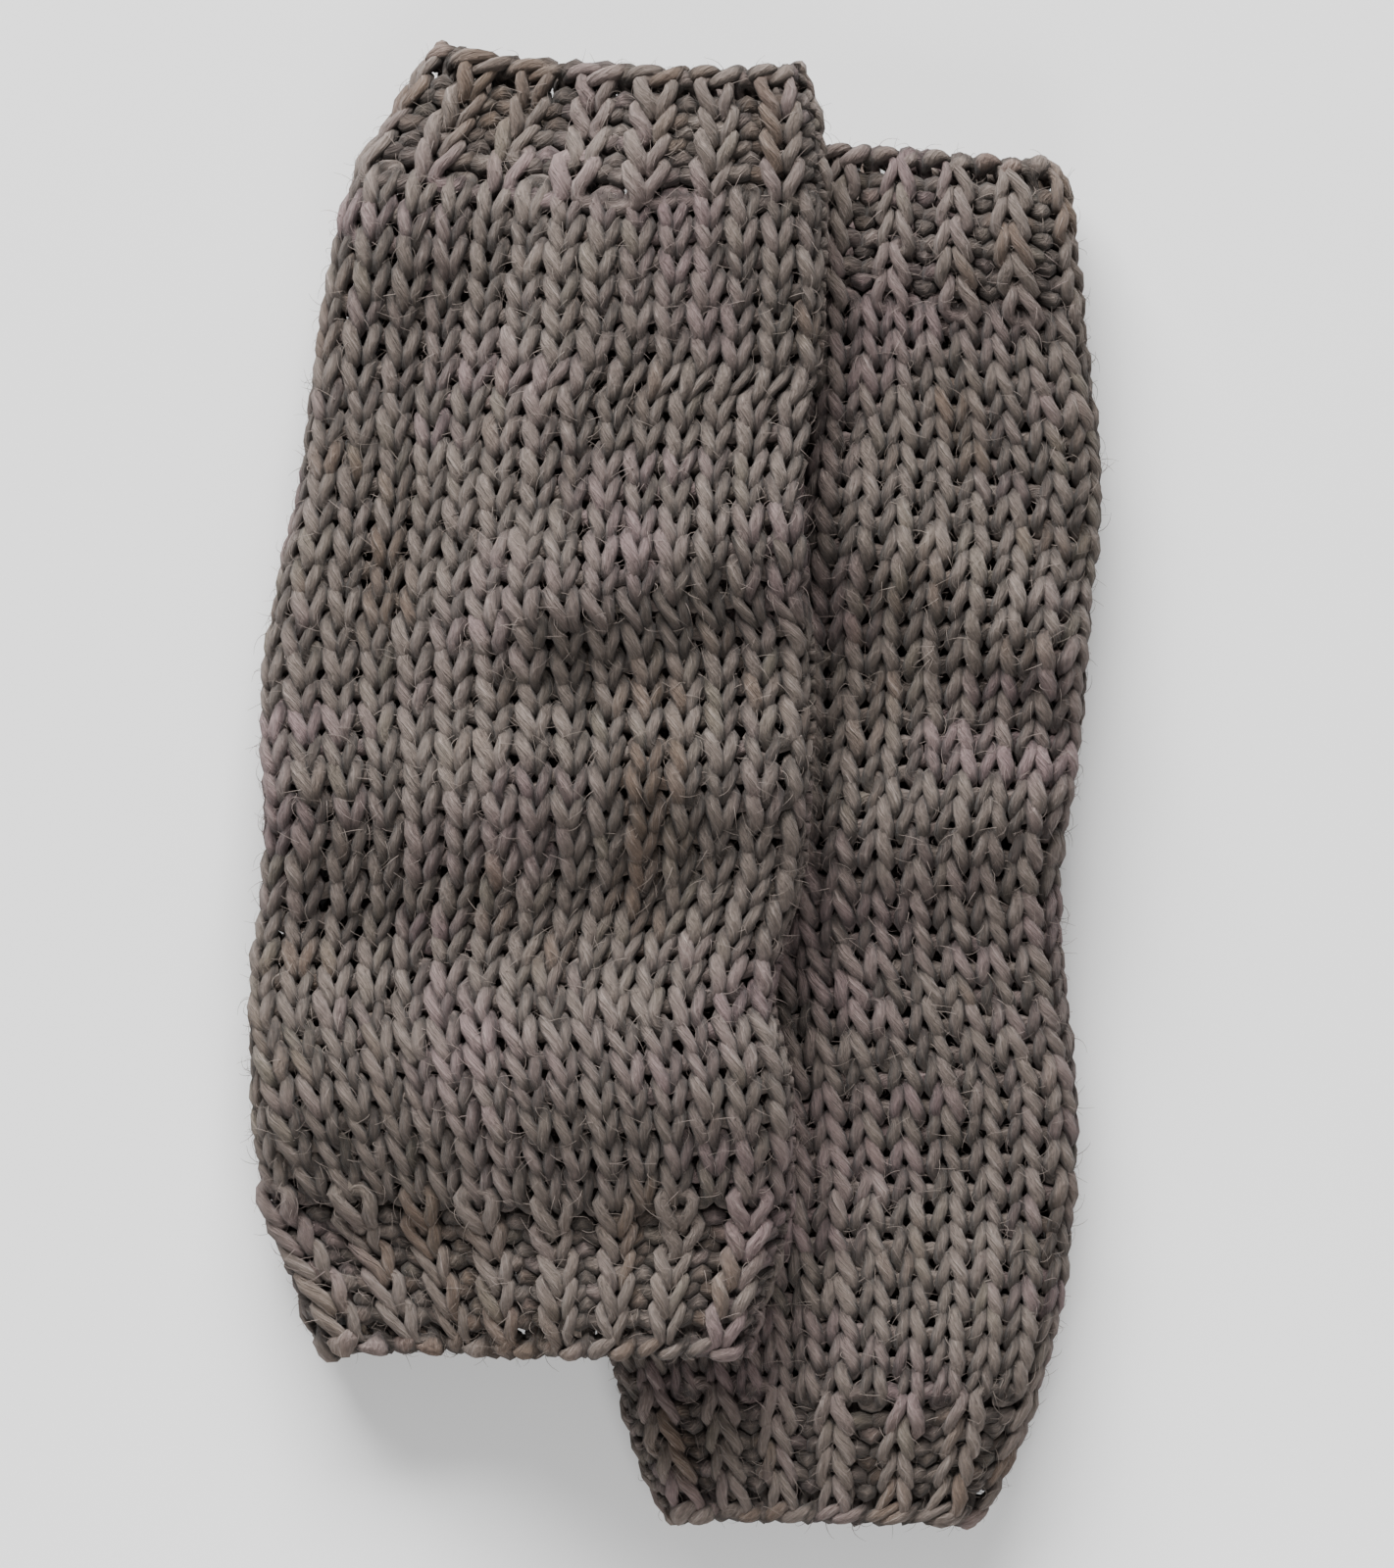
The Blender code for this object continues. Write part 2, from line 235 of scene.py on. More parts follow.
# %% The upper glove
UPPER = {
    "name": "upper_glove",
    "length": 0.2108,
    "finger_end_width": 0.0555,
    "body_width": 0.0900,
    "arm_end_width": 0.0650,
    "finger_end_y": 0.1171,
    "heading": 1,
    "seam_side": 1,
    "finger_slant": -0.07,
    "arm_slant": 0.0,
    "finger_bow": 2.6,
    "outline": (
        (0.000, -0.0083, 0.00),
        (0.012, -0.0092, 0.14),
        (0.028, -0.0096, 0.24),
        (0.057, -0.0105, 0.39),
        (0.123, -0.0143, 0.68),
        (0.236, -0.0173, 0.81),
        (0.331, -0.0201, 0.81),
        (0.473, -0.0221, 1.03),
        (0.614, -0.0229, 0.98),
        (0.718, -0.0265, 0.88),
        (0.785, -0.0248, 0.97),
        (0.884, -0.0239, 0.86),
        (0.936, -0.0235, 0.56),
        (0.983, -0.0230, 0.28),
        (1.000, -0.0210, 0.00),
    ),
    "folds": (
        (-0.045, 0.088, -0.026, 0.093, 0.0024, 0.0090),
        (-0.018, 0.030, 0.020, 0.041, 0.0046, 0.0115),
        (-0.040, 0.022, -0.018, 0.030, 0.0020, 0.0100),
        (0.003, 0.001, 0.018, 0.002, 0.0026, 0.0090),
        (-0.064, 0.000, -0.007, 0.001, 0.0036, 0.0110),
        (-0.067, -0.050, 0.015, -0.046, 0.0042, 0.0130),
        (-0.061, -0.026, -0.004, -0.022, -0.0022, 0.0080),
        (-0.064, -0.074, 0.012, -0.072, -0.0025, 0.0070),
    ),
    "rows": 46,
    "seed": 21.0,
    "finger_rib_rows": 4,
    "arm_rib_rows": 5,
    "top_share": ((0.0, 0.16), (0.5, 0.0), (0.75, -0.03), (1.0, -0.24)),
}
GLOVES = (LOWER, UPPER)
print(UPPER["name"], "has", UPPER["rows"], "rows and", len(UPPER["folds"]), "folds")

# %% [markdown]
# The outline's width and centre are read from a smooth curve through the rows of `outline`.
# Each fold is a long soft bump, highest along a line.  The upper glove lies level on the
# lower one and slopes down to the floor beside it.

# %% The outline, the folds and what lies underneath


def ease(t):
    """0 to 1 with a soft start and a soft end."""
    t = np.clip(t, 0.0, 1.0)
    return t * t * (3 - 2 * t)


def smooth(rows, column, at):
    """One column of rows, read at places in the first column, on a smooth curve."""
    table = np.array(rows, float)
    x, y = table[:, 0], table[:, column]
    slopes = np.empty_like(y)
    slopes[1:-1] = (y[2:] - y[:-2]) / (x[2:] - x[:-2])
    slopes[0] = (y[1] - y[0]) / (x[1] - x[0])
    slopes[-1] = (y[-1] - y[-2]) / (x[-1] - x[-2])
    k = np.clip(np.searchsorted(x, at) - 1, 0, len(x) - 2)
    span = x[k + 1] - x[k]
    t = (at - x[k]) / span
    return ((2 * t ** 3 - 3 * t ** 2 + 1) * y[k] + (t ** 3 - 2 * t ** 2 + t) * span * slopes[k]
            + (3 * t ** 2 - 2 * t ** 3) * y[k + 1] + (t ** 3 - t ** 2) * span * slopes[k + 1])


def centre_and_width(glove, along):
    share = np.clip(along / glove["length"], 0.0, 1.0)
    rows = []
    for place, centre, fullness in glove["outline"]:
        end = glove["finger_end_width"] if place < 0.5 else glove["arm_end_width"]
        rows.append((place, centre, end + (glove["body_width"] - end) * fullness))
    return smooth(rows, 1, share), smooth(rows, 2, share)


def on_the_flat(glove, along, across):
    """Where a point of the laid-out glove is, seen from above."""
    share = along / glove["length"]
    finger_part = 1 - ease(share / 0.5)
    arm_part = ease(share / 0.5 - 1)
    slant = glove["finger_slant"] * finger_part + glove["arm_slant"] * arm_part
    bow = glove["finger_bow"] * finger_part ** 3
    x = centre_and_width(glove, along)[0] + across
    y = glove["finger_end_y"] - glove["heading"] * along + slant * across + bow * across ** 2
    return x, y


def fold_height(glove, x, y):
    """The ridges and furrows of the glove's upper layer."""
    total = np.zeros_like(x)
    for x0, y0, x1, y1, height, half_width in glove["folds"]:
        dx, dy = x1 - x0, y1 - y0
        t = np.clip(((x - x0) * dx + (y - y0) * dy) / (dx * dx + dy * dy), 0.0, 1.0)
        off = np.hypot(x - x0 - t * dx, y - y0 - t * dy)
        total += height * np.exp(-(off / half_width) ** 2)
    return total


def puff(glove, along, across, x, y):
    """How far the upper layer stands above its lowest height."""
    width = centre_and_width(glove, along)[1]
    crown = CROWN * (1 - np.minimum(np.abs(2 * across / width), 1.0) ** 4)
    near_end = np.minimum(along, glove["length"] - along)
    crown *= CROWN_AT_END + (1 - CROWN_AT_END) * ease(near_end / CROWN_EASE)
    height = np.maximum(crown + fold_height(glove, x, y), 0.0)
    return height * ease((x - PRESSED_TO) / OPEN_EASE) if glove is LOWER else height


def support(x, y):
    """Height of what the upper glove lies on: the floor, the lower glove, and the climb."""
    low_y = LOWER["finger_end_y"]
    high_y = low_y + LOWER["length"]
    beyond_end = np.maximum(np.maximum(y - high_y - OVERHANG, low_y - OVERHANG - y), 0.0)
    along = np.clip(y - low_y, 0.0, LOWER["length"])
    centre, width = centre_and_width(LOWER, along)
    beyond_side = np.maximum(np.abs(x - centre) - width / 2, 0.0)
    climb = 1 - ease(np.hypot(beyond_end, beyond_side) / CLIMB)
    return climb * (TUBE_HEIGHT + LAY_GAP + puff(LOWER, along, x - centre, x, y))


for glove in GLOVES:
    middle_width = float(centre_and_width(glove, glove["length"] / 2)[1])
    print(f"{glove['name']}: {middle_width * 1000:.1f} mm wide at mid length")

# %% [markdown]
# A section of the tube is unrolled into five stretches: round the sewn side, along the under
# layer, round the folded side, back along the upper layer, and round the sewn side again.
# A stitch's column says how far along them it is, and its row how far along the glove.

# %% The middle of the fabric, as a function of row and column


def thumb_opening(along):
    """0 where the side is sewn, 1 where the thumb gap is fully open."""
    into = ease((along - THUMB_START) / THUMB_CORNER)
    return into * ease((THUMB_START + THUMB_GAP - along) / THUMB_CORNER)


def fabric_point(glove, column, row):
    """The point of a glove's fabric at a column (0 to STITCHES) and a row (0 = cast on)."""
    along = glove["length"] * (1 - row / glove["rows"])
    inside = np.clip(along, 0.0, glove["length"])
    width = centre_and_width(glove, inside)[1]
    lip = THUMB_LIP * ease((inside - THUMB_START) / THUMB_LIP_EASE)
    lip = lip * ease((THUMB_START + THUMB_GAP - inside) / THUMB_LIP_EASE)
    half_run = width / 2 - FABRIC / 2 - ROUND_RADIUS
    sewn_run = half_run + lip
    sewn_angle = THUMB_ANGLE * thumb_opening(inside)

    # Where each of the five stretches ends, along the section.
    arc = ROUND_RADIUS * (math.pi / 2 - sewn_angle)
    layer = half_run + sewn_run
    fold = math.pi * ROUND_RADIUS
    ends = np.cumsum([arc, layer, np.full_like(arc, fold), layer, arc], axis=0)

    share = column / STITCHES
    wide_top = smooth(glove["top_share"], 1, inside / glove["length"])
    share = share + wide_top * (np.cos(2 * math.pi * share) - 1) / (2 * math.pi)
    s = share * ends[4]

    side = glove["seam_side"]
    lower_angle = -sewn_angle - s / ROUND_RADIUS
    fold_angle = -math.pi / 2 + (s - ends[1]) / ROUND_RADIUS
    upper_angle = math.pi / 2 - (s - ends[3]) / ROUND_RADIUS
    parts = [s <= ends[0], s <= ends[1], s <= ends[2], s <= ends[3]]
    across = side * np.select(parts, [
        sewn_run + ROUND_RADIUS * np.cos(lower_angle),
        sewn_run - (s - ends[0]),
        -half_run - ROUND_RADIUS * np.cos(fold_angle),
        -half_run + (s - ends[2]),
    ], sewn_run + ROUND_RADIUS * np.cos(upper_angle))
    level = np.select(parts, [
        np.sin(lower_angle),
        -np.ones_like(s),
        np.sin(fold_angle),
        np.ones_like(s),
    ], np.sin(upper_angle))

    x, y = on_the_flat(glove, inside, across)
    y = y - glove["heading"] * (along - inside)
    z = FABRIC / 2 + ROUND_RADIUS * (1 + level)
    z = z + (1 + level) / 2 * puff(glove, inside, across, x, y)
    if glove is UPPER:
        z = z + support(x, y)
    return np.stack([x, y, z], axis=-1)


crest = fabric_point(UPPER, np.array([0.75 * STITCHES]), np.array([0.5 * UPPER["rows"]]))[0]
print("middle of the upper glove's upper layer, mm:", (crest * 1000).round(1).tolist())

# %% [markdown]
# The node trees need that surface as a mesh.  Every point of it stores two vectors: `place`,
# which is its column and row as shares from 0 to 1, like a UV map, and `outward`, which points
# away from the inside of the glove.  A margin of fabric past the edges lets loops hang over.

# %% A mesh of that surface for the stitches to be laid on
GRID_STEP = 0.5               # in stitches and rows
GRID_MARGIN = 1.5             # in stitches and rows, past every edge
SLOPE_STEP = 0.05             # to each side of a point, where the slope is taken


def make_fabric(glove):
    past_last = GRID_MARGIN + GRID_STEP / 2
    columns = np.arange(-GRID_MARGIN, STITCHES + past_last, GRID_STEP)
    rows = np.arange(-GRID_MARGIN, glove["rows"] + past_last, GRID_STEP)
    row, column = np.meshgrid(rows, columns, indexing="ij")
    points = fabric_point(glove, column, row)
    step = SLOPE_STEP
    over = fabric_point(glove, column + step, row) - fabric_point(glove, column - step, row)
    up = fabric_point(glove, column, row + step) - fabric_point(glove, column, row - step)
    out = np.cross(over, up)
    out /= np.linalg.norm(out, axis=-1, keepdims=True)

    count = row.size
    index = np.arange(count).reshape(row.shape)
    corners = [index[:-1, :-1], index[:-1, 1:], index[1:, 1:], index[1:, :-1]]
    quads = np.stack(corners, axis=-1)
    mesh = bpy.data.meshes.new(glove["name"] + "_fabric")
    mesh.from_pydata(points.reshape(-1, 3).tolist(), [], quads.reshape(-1, 4).tolist())
    place = mesh.attributes.new("place", "FLOAT_VECTOR", "POINT")
    flat = np.stack([(column + GRID_MARGIN) / (STITCHES + 2 * GRID_MARGIN),
                     (row + GRID_MARGIN) / (glove["rows"] + 2 * GRID_MARGIN),
                     np.zeros_like(row)], axis=-1)
    place.data.foreach_set("vector", flat.reshape(-1))
    outward = mesh.attributes.new("outward", "FLOAT_VECTOR", "POINT")
    outward.data.foreach_set("vector", out.reshape(-1))
    print(glove["name"], "fabric:", count, "points,", len(rows), "by", len(columns))
    return mesh


fabrics = {glove["name"]: make_fabric(glove) for glove in GLOVES}

# %% [markdown]
# ## Writing node trees as sums
#
# Node trees built from Python get long.  A small wrapper lets a socket be used like a number,
# so a formula reads like a formula, in geometry trees and in shader trees alike.

# %% A socket that can be added, multiplied and so on


class Wire:
    """The output of a node, usable in Python expressions."""

    def __init__(self, tree, socket):
        self.tree = tree
        self.socket = socket

    def __add__(self, other):
        return self.tree.math("ADD", self, other)

    def __radd__(self, other):
        return self.tree.math("ADD", other, self)

    def __sub__(self, other):
        return self.tree.math("SUBTRACT", self, other)

    def __rsub__(self, other):
        return self.tree.math("SUBTRACT", other, self)

    def __mul__(self, other):
        return self.tree.math("MULTIPLY", self, other)

    def __rmul__(self, other):
        return self.tree.math("MULTIPLY", other, self)

    def __truediv__(self, other):
        return self.tree.math("DIVIDE", self, other)

    def __neg__(self):
        return self.tree.math("MULTIPLY", self, -1.0)


print("a wire can be added, subtracted, multiplied, divided and negated")

# %% [markdown]
# Any node is added by one method, which takes its type, its inputs and its settings.  The
# other methods are short names for what the trees below need again and again.

# %% A tree with short ways to add nodes
NODES_IN_ROW = 12             # how the nodes are set out in the editor
NODE_SPACING = (180, -220)


class Tree:
    """A node tree with short ways to add nodes."""

    def __init__(self, tree):
        self.tree = tree

    def node(self, kind, inputs=(), **settings):
        """Add a node: settings first, then a value or a wire for each named socket."""
        made = self.tree.nodes.new(kind)
        line, place = divmod(len(self.tree.nodes), NODES_IN_ROW)
        made.location = (NODE_SPACING[0] * place, NODE_SPACING[1] * line)
        for key, value in settings.items():
            setattr(made, key, value)
        for key, value in dict(inputs).items():
            if isinstance(value, Wire):
                self.tree.links.new(value.socket, made.inputs[key])
            else:
                made.inputs[key].default_value = value
        return made

    def wire(self, kind, inputs=(), output=0, **settings):
        """Add a node and hand back one of its outputs."""
        return Wire(self, self.node(kind, inputs, **settings).outputs[output])

    def math(self, operation, *values):
        return self.wire("ShaderNodeMath", enumerate(values), operation=operation)

    def sin(self, value):
        return self.math("SINE", value)

    def cos(self, value):
        return self.math("COSINE", value)

    def vector(self, x, y, z):
        return self.wire("ShaderNodeCombineXYZ", {0: x, 1: y, 2: z})

    def split(self, vector):
        """The three numbers of a vector."""
        parts = self.node("ShaderNodeSeparateXYZ", {0: vector})
        return [Wire(self, parts.outputs[k]) for k in range(3)]

    def added(self, first, second):
        return self.wire("ShaderNodeVectorMath", {0: first, 1: second}, operation="ADD")

    def scaled(self, vector, factor):
        return self.wire("ShaderNodeVectorMath", {0: vector, "Scale": factor}, operation="SCALE")

    def noise(self, place, scale, detail=0.0, roughness=0.5):
        """Smooth noise from about -1 to 1."""
        settings = {"Vector": place, "Scale": scale, "Detail": detail, "Roughness": roughness}
        grey = self.wire("ShaderNodeTexNoise", settings, noise_dimensions="3D")
        return (grey - 0.5) * 2.0

    def stored(self, geometry, name, value, data_type="FLOAT"):
        """The geometry with a value stored on its points."""
        return self.wire("GeometryNodeStoreNamedAttribute",
                         {"Geometry": geometry, "Name": name, "Value": value},
                         data_type=data_type, domain="POINT")

    def attribute(self, name):
        """A vector stored on a mesh, in a geometry tree."""
        return self.wire("GeometryNodeInputNamedAttribute", {"Name": name},
                         data_type="FLOAT_VECTOR")

    def tube(self, line, ring):
        """A mesh along a line, as thick as the line's radius says."""
        made = self.node("GeometryNodeCurveToMesh",
                         {"Curve": line, "Profile Curve": ring, "Fill Caps": True})
        if "Scale" in made.inputs:
            radius = self.wire("GeometryNodeInputRadius")
            self.tree.links.new(radius.socket, made.inputs["Scale"])
        return Wire(self, made.outputs[0])

    def dressed(self, geometry, material):
        """Instances made real, and the material set."""
        geometry = self.wire("GeometryNodeRealizeInstances", {"Geometry": geometry})
        return self.wire("GeometryNodeSetMaterial", {"Geometry": geometry, "Material": material})


print("helpers:", ", ".join(name for name in vars(Tree) if name[0] != "_"))

# %% [markdown]
# ## The stitches
#
# A knitted row is one yarn that swings from side to side, so each loop has two legs and a
# head.  With t running once round for each stitch, the yarn is at
# `column + swing sin 2t`, `row + reach cos t` and `depth cos 2t` off the fabric's middle.
# On the right side the legs come forward and make the V; in a purl column they go behind.
# A rib swaps front and back from one column to the next.  Geometry Nodes draw the yarn on flat
# squares, give it its thickness, and then lay every point on the glove's fabric.

# %% Opening a tree
TURN = 2 * math.pi


def add_input(tree, name, kind, value=None):
    socket = tree.interface.new_socket(name=name, in_out="INPUT", socket_type=kind)
    if value is not None:
        socket.default_value = value


def open_tree(name, sizes, geometry, others, output):
    """A new tree with named inputs, and the wires that come from them."""
    group = bpy.data.node_groups.new(name, "GeometryNodeTree")
    add_input(group, geometry, "NodeSocketGeometry")
    for other, kind in others:
        add_input(group, other, kind)
    for size, value in sizes.items():
        add_input(group, size, "NodeSocketFloat", value)
    add_input(group, "Material", "NodeSocketMaterial")
    group.interface.new_socket(name=output, in_out="OUTPUT", socket_type="NodeSocketGeometry")
    t = Tree(group)
    inputs = t.node("NodeGroupInput").outputs
    return t, {socket.name: Wire(t, socket) for socket in inputs if socket.name}


def straight_line(t, steps):
    """One straight line with a point for every step of the yarn."""
    line = t.wire("GeometryNodeCurvePrimitiveLine", {"End": (1.0, 0.0, 0.0)})
    return t.wire("GeometryNodeResampleCurve", {"Curve": line, "Count": steps}, mode="COUNT")


print("a turn is", round(TURN, 3), "radians")

# %% [markdown]
# On the flat, x counts columns and y counts rows.  For each point of the yarn, Sample UV
# Surface finds the place on the fabric with the same column and row, and the way outwards
# there.  The yarn also stores three values for its finish and its painted shade: how far
# along it a point is, where around it, and how proud of the fabric's middle it stands.

# %% From a line on the flat to yarn on the glove
STITCH_WIDTH = 0.0060         # on the flat
ROW_HEIGHT = 0.00455          # on the flat
YARN_SIDES = 8
FLOOR_LEVEL = 0.0001          # wool that is pressed on the floor goes no lower


def laid_yarn(t, given, line, step, radius):
    """Give a line drawn on flat knitting its thickness, and lay it on the glove's fabric."""
    line = t.stored(line, "along", step)
    line = t.wire("GeometryNodeSetCurveRadius", {"Curve": line, "Radius": radius})
    ring = t.wire("GeometryNodeCurvePrimitiveCircle", {"Resolution": YARN_SIDES, "Radius": 1.0})
    ring_angle = t.wire("GeometryNodeInputIndex") * (TURN / YARN_SIDES)
    around = t.vector(t.cos(ring_angle), t.sin(ring_angle), 0.0)
    yarn = t.tube(line, t.stored(ring, "around", around, "FLOAT_VECTOR"))

    # Where each point is on the fabric, as shares of its columns and rows.
    flat_x, flat_y, flat_z = t.split(t.wire("GeometryNodeInputPosition"))
    columns = given["Stitches"] + 2 * GRID_MARGIN
    rows = given["Fabric rows"] + 2 * GRID_MARGIN
    on_fabric = t.vector((flat_x / STITCH_WIDTH + GRID_MARGIN) / columns,
                         (flat_y / ROW_HEIGHT + GRID_MARGIN) / rows, 0.0)
    place = t.attribute("place")

    def sampled(value):
        return t.wire("GeometryNodeSampleUVSurface",
                      {"Mesh": given["Fabric"], "Value": value, "UV Map": place,
                       "Sample UV": on_fabric}, data_type="FLOAT_VECTOR")

    lift = t.scaled(sampled(t.attribute("outward")), flat_z * given["Flattening"])
    here = sampled(t.wire("GeometryNodeInputPosition"))
    x, y, z = t.split(t.added(here, lift))
    laid = t.vector(x, y, t.math("MAXIMUM", z, FLOOR_LEVEL))

    # How far the point stands from the fabric's middle, in millimetres, for the wool's painted
    # shade.
    yarn = t.stored(yarn, "proud", t.math("ABSOLUTE", flat_z * 1000.0))
    yarn = t.wire("GeometryNodeSetPosition", {"Geometry": yarn, "Position": laid})
    yarn = t.wire("GeometryNodeSetShadeSmooth", {"Geometry": yarn})
    return t.dressed(yarn, given["Material"])


print(f"a stitch on the flat: {STITCH_WIDTH * 1000:.1f} by {ROW_HEIGHT * 1000:.2f} mm")

# %% [markdown]
# Hand knitting is never even.  Noise moves each loop a little over, up and out and changes its
# thickness, and a slower noise lets whole columns and rows drift.  One leg of every loop is
# plumper than the other, and the yarn is thicker at a loop's head and foot, which fills the
# gaps behind the legs.

# %% The sizes that the knitting tree starts from
KNITTING_SIZES = {
    "First row": 0.0,         # where the band starts, in rows from the cast-on edge
    "Rows": 4.0,              # in the band
    "Fabric rows": 46.0,      # in the whole glove
    "Stitches": float(STITCHES),
    "Points per stitch": 14.0,
    "Swing": 0.205,           # to each side, in stitches
    "Pull": 0.045,            # draws a loop's legs together at its foot, in stitches
    "Reach": 0.79,            # up and down, in rows
    "Depth": 0.00092,         # in front of the fabric's middle and behind it
    "Yarn radius": 0.00133,
    "Petal": 0.11,            # how much thicker the yarn is at a loop's head and foot
    "Flattening": 0.86,       # scales every height from the fabric's middle
    "Rib": 0.0,               # 0 is plain knitting, 1 a rib of one knit and one purl
    "Rib relief": 0.0009,     # how far a knit column stands out and a purl column sinks
    "Rib squeeze": 0.42,      # how far the knit columns close over the purl ones
    "Unevenness": 1.5,
    "Drift": 0.30,            # in stitches and rows
    "Seed": 1.0,
    "Plump leg": -1.0,        # -1 is the left leg of a loop, 1 the right one
}
WOBBLE_OVER = 0.16            # in stitches
WOBBLE_UP = 0.14              # in rows
WOBBLE_OUT = 0.00035          # in metres
WOBBLE_THICK = 0.10           # share of the radius
PLUMP_OUT = 0.00012           # how far the plump leg stands out
PLUMP_THICK = 0.07            # and how much thicker it is, as a share
RIB_SHARPNESS = 1.7           # how quickly a rib goes from front to back
ROUNDING = 0.001              # keeps a row's first point out of the row before it
print("the knitting tree has", len(KNITTING_SIZES), "sizes")

# %% The tree that knits a band of rows


def knitting_tree():
    t, given = open_tree("knitting", KNITTING_SIZES, "Fabric", (), "Yarn")
    stitches, seed, rib = given["Stitches"], given["Seed"], given["Rib"]

    # Rows go to and fro, as on two needles.
    line = straight_line(t, given["Rows"] * stitches * given["Points per stitch"])
    step = t.wire("GeometryNodeInputIndex") / given["Points per stitch"]
    row = t.math("FLOOR", (step + ROUNDING) / stitches)
    within = step - row * stitches
    to_and_fro = 1.0 - 2.0 * t.math("MODULO", row, 2.0)
    column = stitches * 0.5 + to_and_fro * (within - stitches * 0.5)
    glove_row = row + given["First row"]

    # Each noise is read at its own pace along the columns and rows, far from the others.
    uneven = given["Unevenness"]
    wobble_over = t.noise(t.vector(column * 0.55, glove_row, seed * 7.3), 0.9) * uneven
    wobble_up = t.noise(t.vector(column * 0.6, row * 0.8 + 31.0, seed * 3.1), 1.0) * uneven
    wobble_out = t.noise(t.vector(column * 0.8 + 17.0, row, seed * 5.7), 1.1) * uneven
    drift_over = t.noise(t.vector(column * 0.16, glove_row * 0.14, 3.3), 1.0) * given["Drift"]
    drift_up = t.noise(t.vector(column * 0.22, glove_row * 0.12, 8.8), 1.0) * given["Drift"]

    # The loop.  Side is 1 in a knit column and -1 in a purl one.
    angle = (column - 0.5) * TURN
    side = t.cos(angle * 0.5) * RIB_SHARPNESS
    side = t.math("MINIMUM", t.math("MAXIMUM", side, -1.0), 1.0)
    face = 1.0 + rib * (side - 1.0)
    plump = given["Plump leg"] * t.sin(angle)
    over = (column + given["Swing"] * t.sin(angle * 2.0) - given["Pull"] * t.sin(angle)
            + WOBBLE_OVER * wobble_over + drift_over)
    over = over + rib * given["Rib squeeze"] * t.sin((over - 0.5) * math.pi) / math.pi
    up = glove_row + 0.5 + given["Reach"] * t.cos(angle) + WOBBLE_UP * wobble_up + drift_up
    out = (-given["Depth"] * t.cos(angle * 2.0) * face + rib * given["Rib relief"] * side
           + WOBBLE_OUT * wobble_out + PLUMP_OUT * plump)
    flat = t.vector(over * STITCH_WIDTH, up * ROW_HEIGHT, out)
    line = t.wire("GeometryNodeSetPosition", {"Geometry": line, "Position": flat})

    thickness = (1.0 + WOBBLE_THICK * wobble_out + given["Petal"] * t.cos(angle * 2.0)
                 + PLUMP_THICK * plump)
    yarn = laid_yarn(t, given, line, step, given["Yarn radius"] * thickness)
    t.node("NodeGroupOutput", {0: yarn})
    print("knitting tree:", len(t.tree.nodes), "nodes")
    return t.tree


knitting = knitting_tree()

# %% [markdown]
# A tree runs as a modifier on a helper object that holds the fabric.  Its result is kept as
# a plain mesh, one for each piece, and the helper is thrown away.

# %% Running a tree on a glove's fabric


def grow(name, fabric_mesh, group, material, **values):
    """Run a node tree on the fabric and keep the result as a plain mesh."""
    host = bpy.data.objects.new(name + "_host", fabric_mesh)
    bpy.context.scene.collection.objects.link(host)
    modifier = host.modifiers.new("grow", "NODES")
    modifier.node_group = group
    by_name = {s.name: s.identifier for s in group.interface.items_tree if s.in_out == "INPUT"}
    for key, value in values.items():
        modifier[by_name[key.replace("_", " ")]] = value
    modifier[by_name["Material"]] = material
    finished = host.evaluated_get(bpy.context.evaluated_depsgraph_get())
    mesh = bpy.data.meshes.new_from_object(finished)
    host.modifiers.remove(modifier)
    bpy.data.objects.remove(host)
    mesh.name = name
    piece = bpy.data.objects.new(name, mesh)
    bpy.context.scene.collection.objects.link(piece)
    mesh.calc_loop_triangles()
    print(f"{name}: {len(mesh.loop_triangles)} triangles")
    return piece


# %% [markdown]
# ## Edges, seams and yarn ends
#
# The rest of the yarn also repeats a small figure while it travels: the cast-on and bind-off
# edges are chains whose links lean forward and back along the rim, the sewing thread zigzags
# from one edge to the other, and a woven-in end is nearly straight.  One tree draws them all:
# for each turn of t the yarn moves one step of Run, `forward sin t` along it and
# `swing cos t` towards Side.

# %% The sizes that the travelling yarn starts from
TRAVELLING_SIZES = {
    "Figures": 30.0,          # how often the figure is repeated
    "Fabric rows": 46.0,      # in the whole glove
    "Stitches": float(STITCHES),
    "Points per figure": 14.0,
    "Forward": 0.0,           # in steps of Run
    "Swing": 0.4,             # in lengths of Side
    "Slant": 0.0,             # how far the links lean, in rows
    "Legs out": 0.0,          # how far the crossings stand back and the turns stand out
    "Yarn radius": 0.0013,
    "Petal": 0.0,             # how much thicker the yarn is where it turns
    "Flattening": 0.9,
    "Unevenness": 1.0,
    "Seed": 1.0,
    "Rib": 0.0,               # 1 follows the ribs' columns in and out
    "Rib relief": 0.0009,
    "Rib squeeze": 0.42,
}
TRAVEL_WOBBLE = 0.10          # along and across
TRAVEL_WOBBLE_OUT = 0.00025   # in metres
TRAVEL_WOBBLE_THICK = 0.08    # share of the radius
print("the travelling yarn has", len(TRAVELLING_SIZES), "sizes")

# %% The tree that lays a travelling yarn


